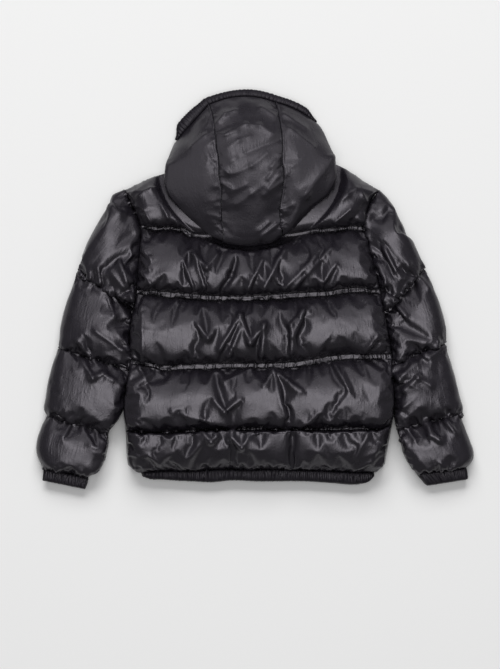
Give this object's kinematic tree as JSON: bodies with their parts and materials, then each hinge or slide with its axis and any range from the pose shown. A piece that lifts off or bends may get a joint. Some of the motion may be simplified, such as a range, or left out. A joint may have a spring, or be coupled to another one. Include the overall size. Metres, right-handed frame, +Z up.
{
  "type": "hooded puffer jacket",
  "caption": "Child's quilted puffer jacket with a hood, lying flat with its back up and its zipped front underneath.",
  "frame": {"origin": "middle of the jacket's outline, on the surface it lies on", "axes": "+X to the right of the shown back, sleeve to sleeve; +Y from the hem towards the hood; +Z up out of the back"},
  "size_m": [0.7472, 0.6837, 0.0711],
  "materials": {
    "shell": "glossy black coated nylon",
    "elastic": "gathered black nylon over elastic",
    "tape": "matte black woven tape",
    "metal": "black lacquered metal, satin"
  },
  "bodies": {
    "jacket": {"back_panel": "shell", "front_left": "shell", "front_right": "shell", "sleeve_left": "shell", "sleeve_right": "shell", "cuff_left": "elastic", "cuff_right": "elastic", "hem_band": "elastic", "hood_center": "shell", "hood_side_left": "shell", "hood_side_right": "shell", "hood_binding": "elastic", "zip_tape_left": "tape", "zip_tape_right": "tape", "zip_slider": "metal"},
    "pull": {"zip_pull": "metal"}
  },
  "joints": [
    {"name": "pull_swing", "type": "hinge", "parent": "jacket", "child": "pull", "pos_m": [-0.0009, 0.1762, 0.00495], "axis": [1, 0, 0], "range_deg": [0, 130]}
  ]
}
